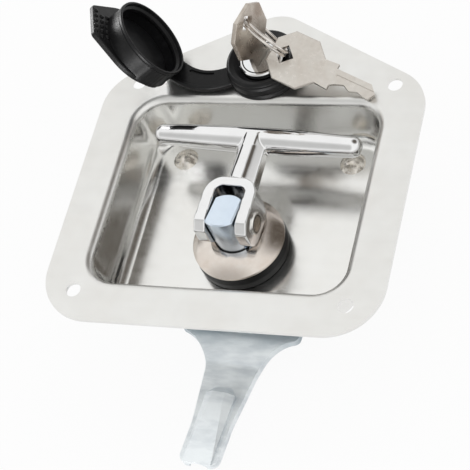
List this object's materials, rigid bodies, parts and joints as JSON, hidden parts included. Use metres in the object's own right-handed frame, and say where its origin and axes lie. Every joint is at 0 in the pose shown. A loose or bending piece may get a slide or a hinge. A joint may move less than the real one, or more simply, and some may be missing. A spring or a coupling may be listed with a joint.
{
  "type": "t-handle toolbox lock",
  "caption": "Recessed folding T-handle lock in a pressed dish: the handle turns a cam lever behind it, and a keyed slide under a rubber cap stops the spindle.",
  "frame": {"origin": "centre of the four fixing holes, on the back face of the flange that seats on the lid", "axes": "+Z out of the front face, +Y toward the key lock and the flange's peak, +X across the plate"},
  "size_m": [0.127, 0.1698, 0.0886],
  "materials": {
    "polished_stainless": "polished sheet",
    "stainless_strap": "mill finish",
    "stainless_rivet": "polished",
    "sintered_brass": "plain",
    "black_rubber": "satin moulded",
    "chrome_lock": "bright",
    "zinc_plate": "zinc plated",
    "blue_zinc": "clear blue zinc",
    "galvanised_steel": "zinc plated, grained",
    "polished_chrome": "mirror",
    "wafer_brass": "plain",
    "nickel_silver": "nickel silver, tumbled",
    "ring_steel": "nickel plated"
  },
  "bodies": {
    "root": {"face_dish": "polished_stainless", "rear_bracket": "stainless_strap", "bracket_rivets": "stainless_rivet", "spindle_bush": "sintered_brass", "rubber_seal": "black_rubber", "lock_housing": "chrome_lock", "lock_tooth_washer": "zinc_plate", "lock_nut": "zinc_plate", "dust_collar": "black_rubber", "dust_strap": "black_rubber"},
    "spindle": {"spindle": "blue_zinc", "dome_washer": "polished_stainless", "stop_disc": "zinc_plate", "spacer_sleeve": "zinc_plate", "cam_lever": "galvanised_steel", "lever_spring_washer": "zinc_plate", "lever_nut": "zinc_plate"},
    "handle": {"t_handle": "polished_chrome", "pivot_pin": "stainless_rivet"},
    "plug": {"lock_plug": "chrome_lock", "plug_wafers": "wafer_brass", "lock_cam": "zinc_plate", "cam_screw": "zinc_plate"},
    "slide": {"locking_slide": "zinc_plate"},
    "first_key": {"key_one": "nickel_silver"},
    "ring": {"key_ring": "ring_steel"},
    "second_key": {"key_two": "nickel_silver"},
    "cap": {"dust_cap": "black_rubber"}
  },
  "joints": [
    {"name": "spindle_turn", "type": "hinge", "parent": "root", "child": "spindle", "pos_m": [0, -0.013, 0], "axis": [0, 0, 1], "range_deg": [0, 90]},
    {"name": "handle_fold", "type": "hinge", "parent": "spindle", "child": "handle", "pos_m": [0, -0.013, -0.0018], "axis": [0.9984, -0.0558, 0], "range_deg": [0, 90]},
    {"name": "plug_turn", "type": "hinge", "parent": "root", "child": "plug", "pos_m": [0, 0.052, 0], "axis": [0, 0, 1], "range_deg": [0, 90]},
    {"name": "slide_lock", "type": "slide", "parent": "root", "child": "slide", "axis": [0, -1, 0], "range_m": [0, 0.0076]},
    {"name": "key_withdraw", "type": "slide", "parent": "plug", "child": "first_key", "axis": [0, 0, 1], "range_m": [0, 0.02]},
    {"name": "ring_swing", "type": "hinge", "parent": "first_key", "child": "ring", "pos_m": [0.00434, 0.05298, 0.02048], "axis": [-0.6334, -0.6879, -0.3545], "range_deg": [0, 30]},
    {"name": "key_two_swing", "type": "hinge", "parent": "ring", "child": "second_key", "pos_m": [0.01091, 0.04998, 0.01328], "axis": [0.3811, -0.676, 0.6308], "range_deg": [0, 15]},
    {"name": "cap_swing", "type": "hinge", "parent": "root", "child": "cap", "pos_m": [-0.0327, 0.0481, 0.0045], "axis": [0.3201, 0.9474, 0], "range_deg": [0, 25]}
  ],
  "couplings": [
    {"joint": "handle_fold", "follows": "spindle_turn", "ratio": 1},
    {"joint": "plug_turn", "follows": "slide_lock", "rad_per_m": 206.68}
  ]
}
